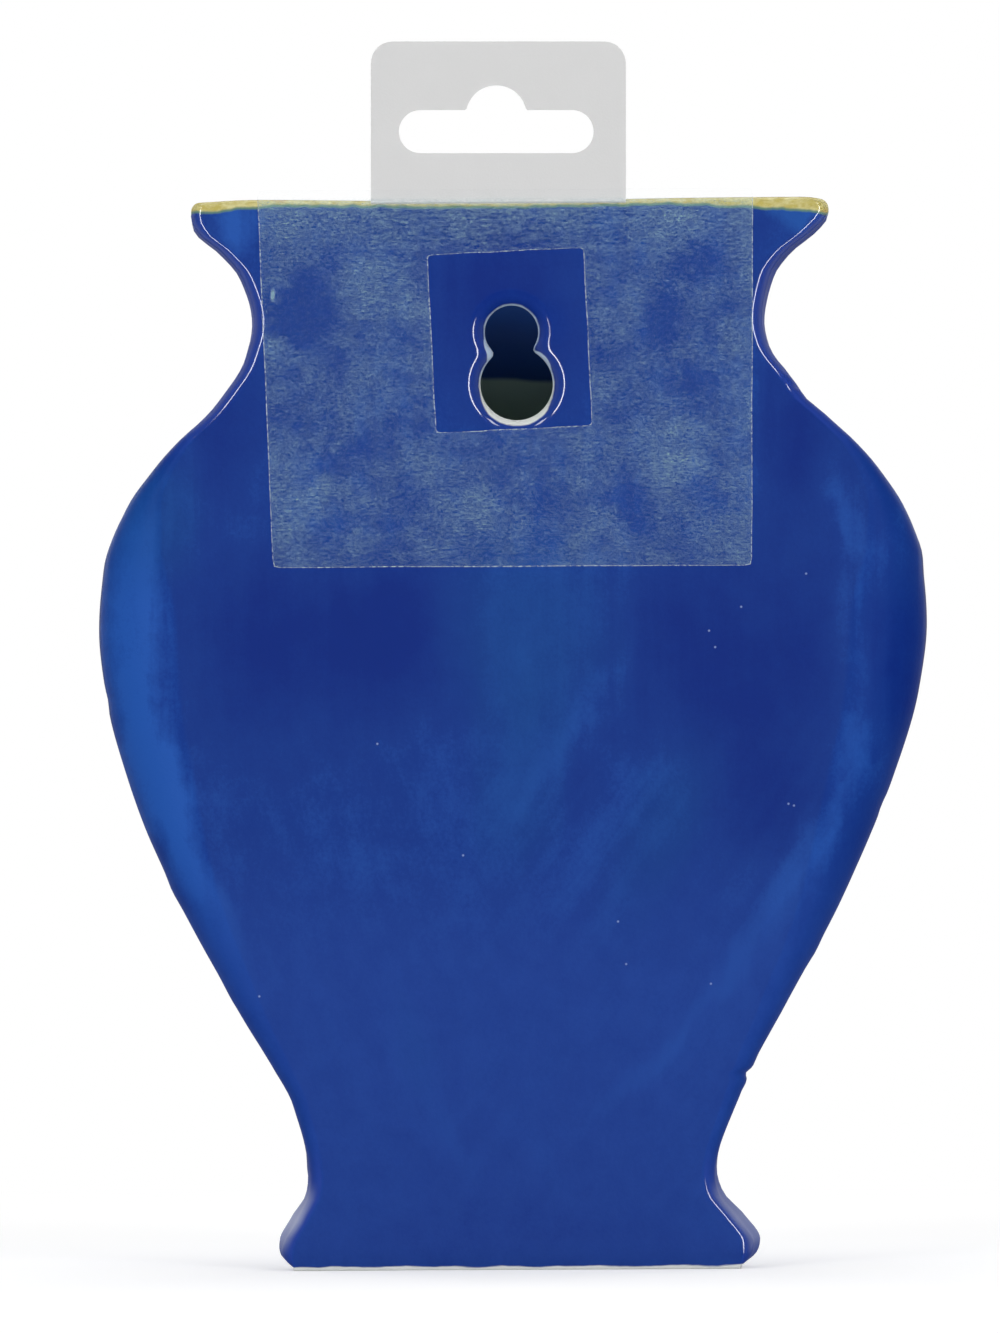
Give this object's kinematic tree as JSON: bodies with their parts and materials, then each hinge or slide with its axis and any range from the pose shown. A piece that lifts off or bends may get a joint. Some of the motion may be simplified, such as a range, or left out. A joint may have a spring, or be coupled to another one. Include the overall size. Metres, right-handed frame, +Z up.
{
  "type": "hanging wall vase",
  "caption": "Flat-backed glazed wall vase with a bowed front, flared mouth and foot, a keyhole hanger, and a film-held bending hang tab.",
  "frame": {"origin": "on the flat back plane, at the centre of the keyhole's small lobe, where the wall screw's shank comes to rest", "axes": "+Y out of the flat back, into the wall; +Z up; the bowed front faces -Y; +X to the right of someone facing the front"},
  "size_m": [0.1366, 0.0607, 0.202],
  "materials": {
    "cobalt_glaze_back": "glossy cobalt glaze, brushed streaks",
    "cobalt_glaze_front": "glossy cobalt glaze, brushed streaks",
    "cobalt_glaze_foot": "glossy cobalt glaze over a bare clay sole",
    "yellow_glaze": "glossy mustard glaze bleeding green into the blue",
    "frosted_film": "frosted translucent, fibrous haze",
    "tab_plastic": "smooth pale grey sheet"
  },
  "bodies": {
    "vase": {"back_slab": "cobalt_glaze_back", "front_shell": "cobalt_glaze_front", "foot_slab": "cobalt_glaze_foot", "rim_lip": "yellow_glaze", "adhesive_film": "frosted_film", "hang_tab_leg": "tab_plastic"},
    "tab": {"hang_tab": "tab_plastic"}
  },
  "joints": [
    {"name": "tab_flex", "type": "hinge", "parent": "vase", "child": "tab", "pos_m": [0.002, 0.0002, 0.0239], "axis": [1, 0, 0], "range_deg": [-60, 90], "stiffness_Nm_per_rad": 0.01}
  ]
}
